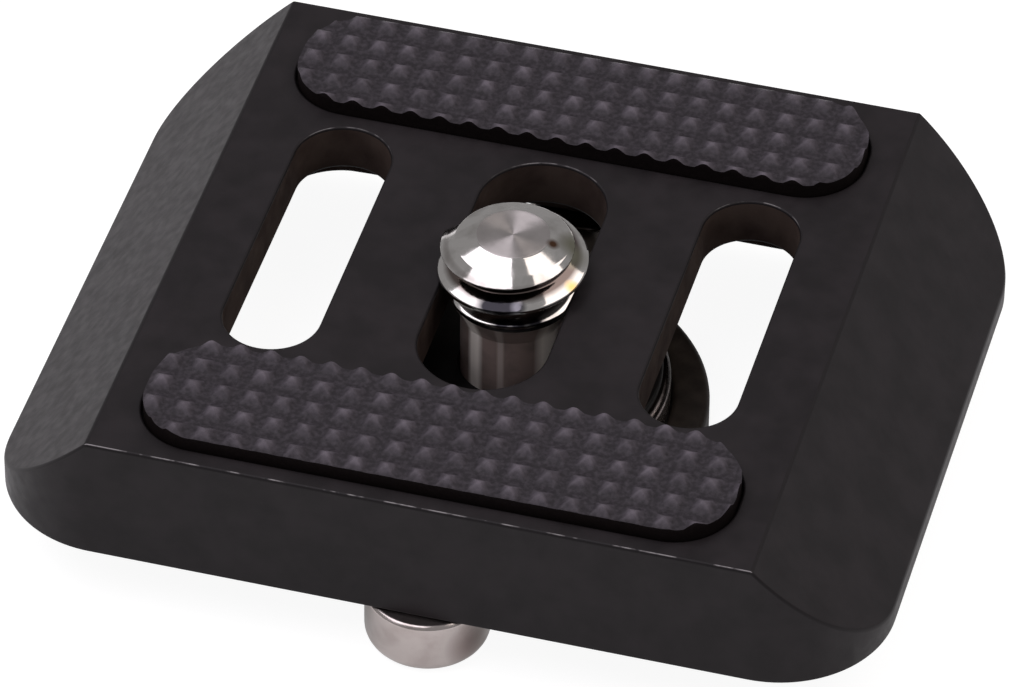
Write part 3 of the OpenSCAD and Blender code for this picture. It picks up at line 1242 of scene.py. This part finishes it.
@dataclass
class StopScrews(Assembly):
    """Socket-head screws under both ends that keep the plate in its clamp."""

    head_r: float = 2.625
    head_h: float = 2.69
    foot_round: float = 0.75
    rim: float = 0.14
    thread_r: float = 1.5
    thread_top: float = 5.9
    socket_flats: float = 2.5
    socket_depth: float = 1.3
    y: float = 13.05

    def blank(self) -> Shell:
        """Turned form of the screw."""
        arc = [
            (self.head_r - self.foot_round * (1 - math.sin(a)), self.foot_round * (1 - math.cos(a)))
            for a in (math.radians(11.25 * i) for i in range(9))
        ]
        profile = [
            (0.0, 0.0), *arc, (self.head_r, self.head_h - self.rim), (self.head_r - self.rim, self.head_h),
            (self.thread_r, self.head_h), (self.thread_r, self.thread_top), (0.0, self.thread_top),
        ]
        return Shell.turned(profile, 96)

    def socket(self) -> Shell:
        """Cutter for the hexagon socket."""
        corner = self.socket_flats / 2 / math.cos(math.pi / 6)
        plan = [(corner * math.cos(math.tau * i / 6), corner * math.sin(math.tau * i / 6)) for i in range(6)]
        return Shell.prism(plan, -OVERRUN, self.socket_depth)

    def build(self) -> list[Piece]:
        """Builds both screws."""
        screws = []
        for end in End:
            name = end.name.lower()
            screw = Workbench.solid(f"{name}_socket_screw", self.blank())
            Workbench.cut(screw, Cut.REMOVE, self.socket())
            Workbench.soften(screw, 0.06)
            screw.data.transform(Matrix.Translation((0, end.value * self.y * MM, 0)))
            screws.append(self.seat(screw, "plate", (STOP_STEEL,), f"{name}_stop_screw"))
        return screws


# Studio


@dataclass(frozen=True)
class Softbox:
    """Soft rectangular lamp that points straight down: place and sides in millimetres, turn in degrees."""

    name: str
    place: Place
    sides: Point
    turn: float
    watts: float
    colour: Colour

    def build(self) -> None:
        """Hangs the lamp."""
        light = bpy.data.lights.new(self.name, "AREA")
        light.shape = "RECTANGLE"
        light.size, light.size_y = (side * MM for side in self.sides)
        light.energy = self.watts
        light.color = self.colour
        lamp = bpy.data.objects.new(self.name, light)
        bpy.context.scene.collection.objects.link(lamp)
        lamp.location = Vector(self.place) * MM
        lamp.rotation_euler = (0.0, 0.0, math.radians(self.turn))


@dataclass
class Studio:
    """Camera, lamps, grey surroundings and the pale floor."""

    focal: float = 271.9
    distance: float = 322.67
    elevation: float = 41.45
    azimuth: float = 15.01
    roll: float = 0.55
    aim: Place = (0.0, 0.0, 2.7)
    offset: Point = (-0.3097, 1.5965)
    clip: Point = (10.0, 100000.0)
    surroundings: float = 0.35
    air: Colour = (1.0, 0.985, 1.0)
    lamps: tuple[Softbox, ...] = (
        Softbox("left_softbox", (-212, -46, 380), (420, 500), 15.0, 1.42, (1.0, 0.955, 1.03)),
        Softbox("right_softbox", (296, 111, 380), (410, 400), 40.0, 0.92, (1.0, 0.91, 0.87)),
    )
    floor_half: float = 1500.0
    floor_plain: float = 0.7
    floor_shadow: float = 0.2
    floor_glow: float = 0.92
    floor_gloss: float = 0.3

    def camera(self) -> None:
        """Sets the camera up at the photograph's place."""
        elevation, azimuth, roll = (math.radians(a) for a in (self.elevation, self.azimuth, self.roll))
        ahead = Vector((math.sin(azimuth), -math.cos(azimuth), 0))
        back = ahead * math.cos(elevation) + Vector((0, 0, math.sin(elevation)))
        level = Vector((math.cos(azimuth), math.sin(azimuth), 0))
        upright = back.cross(level)
        right = level * math.cos(roll) + upright * math.sin(roll)
        up = upright * math.cos(roll) - level * math.sin(roll)
        lens = bpy.data.cameras.new("camera")
        lens.lens = self.focal
        lens.sensor_width = 36
        lens.clip_start, lens.clip_end = (reach * MM for reach in self.clip)
        camera = bpy.data.objects.new("camera", lens)
        bpy.context.scene.collection.objects.link(camera)
        place = Vector(self.aim) + back * self.distance + right * self.offset[0] + up * self.offset[1]
        turn = Matrix((right, up, back)).transposed().to_4x4()
        camera.matrix_world = Matrix.Translation(place * MM) @ turn
        bpy.context.scene.camera = camera

    def world(self) -> None:
        """Sets up even grey surroundings."""
        world = bpy.data.worlds.new("surroundings")
        world.use_nodes = True
        back = world.node_tree.nodes["Background"]
        back.inputs["Strength"].default_value = self.surroundings
        back.inputs["Color"].default_value = (*self.air, 1.0)
        bpy.context.scene.world = world

    def floor(self) -> None:
        """Lays a pale floor that is seen white with the object's soft shadow, and lights it plainly."""
        half = self.floor_half
        corners = [(-half, -half, 0), (half, -half, 0), (half, half, 0), (-half, half, 0)]
        floor = Workbench.solid("floor", Shell(corners, [(0, 1, 2, 3)]))
        tree = NodeTree("pale_floor")
        path = tree.nodes.new("ShaderNodeLightPath").outputs
        ends = {"To Min": self.floor_plain, "To Max": self.floor_shadow}
        shade = tree.add("MapRange", "Result", {"Value": path["Is Camera Ray"], **ends})
        strength: Socket | float = 0.0
        for name, share in (("Camera", self.floor_glow), ("Glossy", self.floor_gloss),
                            ("Transmission", self.floor_gloss)):
            inputs = {0: path[f"Is {name} Ray"], 1: share, 2: strength}
            strength = tree.add("Math", "Value", inputs, operation="MULTIPLY_ADD")
        diffuse = tree.add("BsdfDiffuse", "BSDF", {"Color": shade})
        glow = tree.add("Emission", "Emission", {"Strength": strength})
        tree.show(tree.add("AddShader", "Shader", {0: diffuse, 1: glow}))
        floor.data.materials.append(tree.material)

    def build(self) -> None:
        """Sets up the whole studio."""
        bpy.context.scene.view_settings.view_transform = "Standard"
        self.camera()
        self.world()
        self.floor()
        for lamp in self.lamps:
            lamp.build()


def main() -> None:
    """Builds every sub-assembly in order, then the studio, and logs each piece's face count."""
    logging.basicConfig(level=logging.INFO, format="%(name)s: %(message)s")
    assemblies: list[Assembly] = [
        DovetailPlate(), GripPads(), CameraScrew(), ScrewWasher(), FingerRing(), StopScrews(),
    ]
    for assembly in assemblies:
        for piece in assembly.build():
            LOG.info("%s: %d faces", piece.name, len(piece.data.polygons))
    Studio().build()


if __name__ == "__main__":
    main()
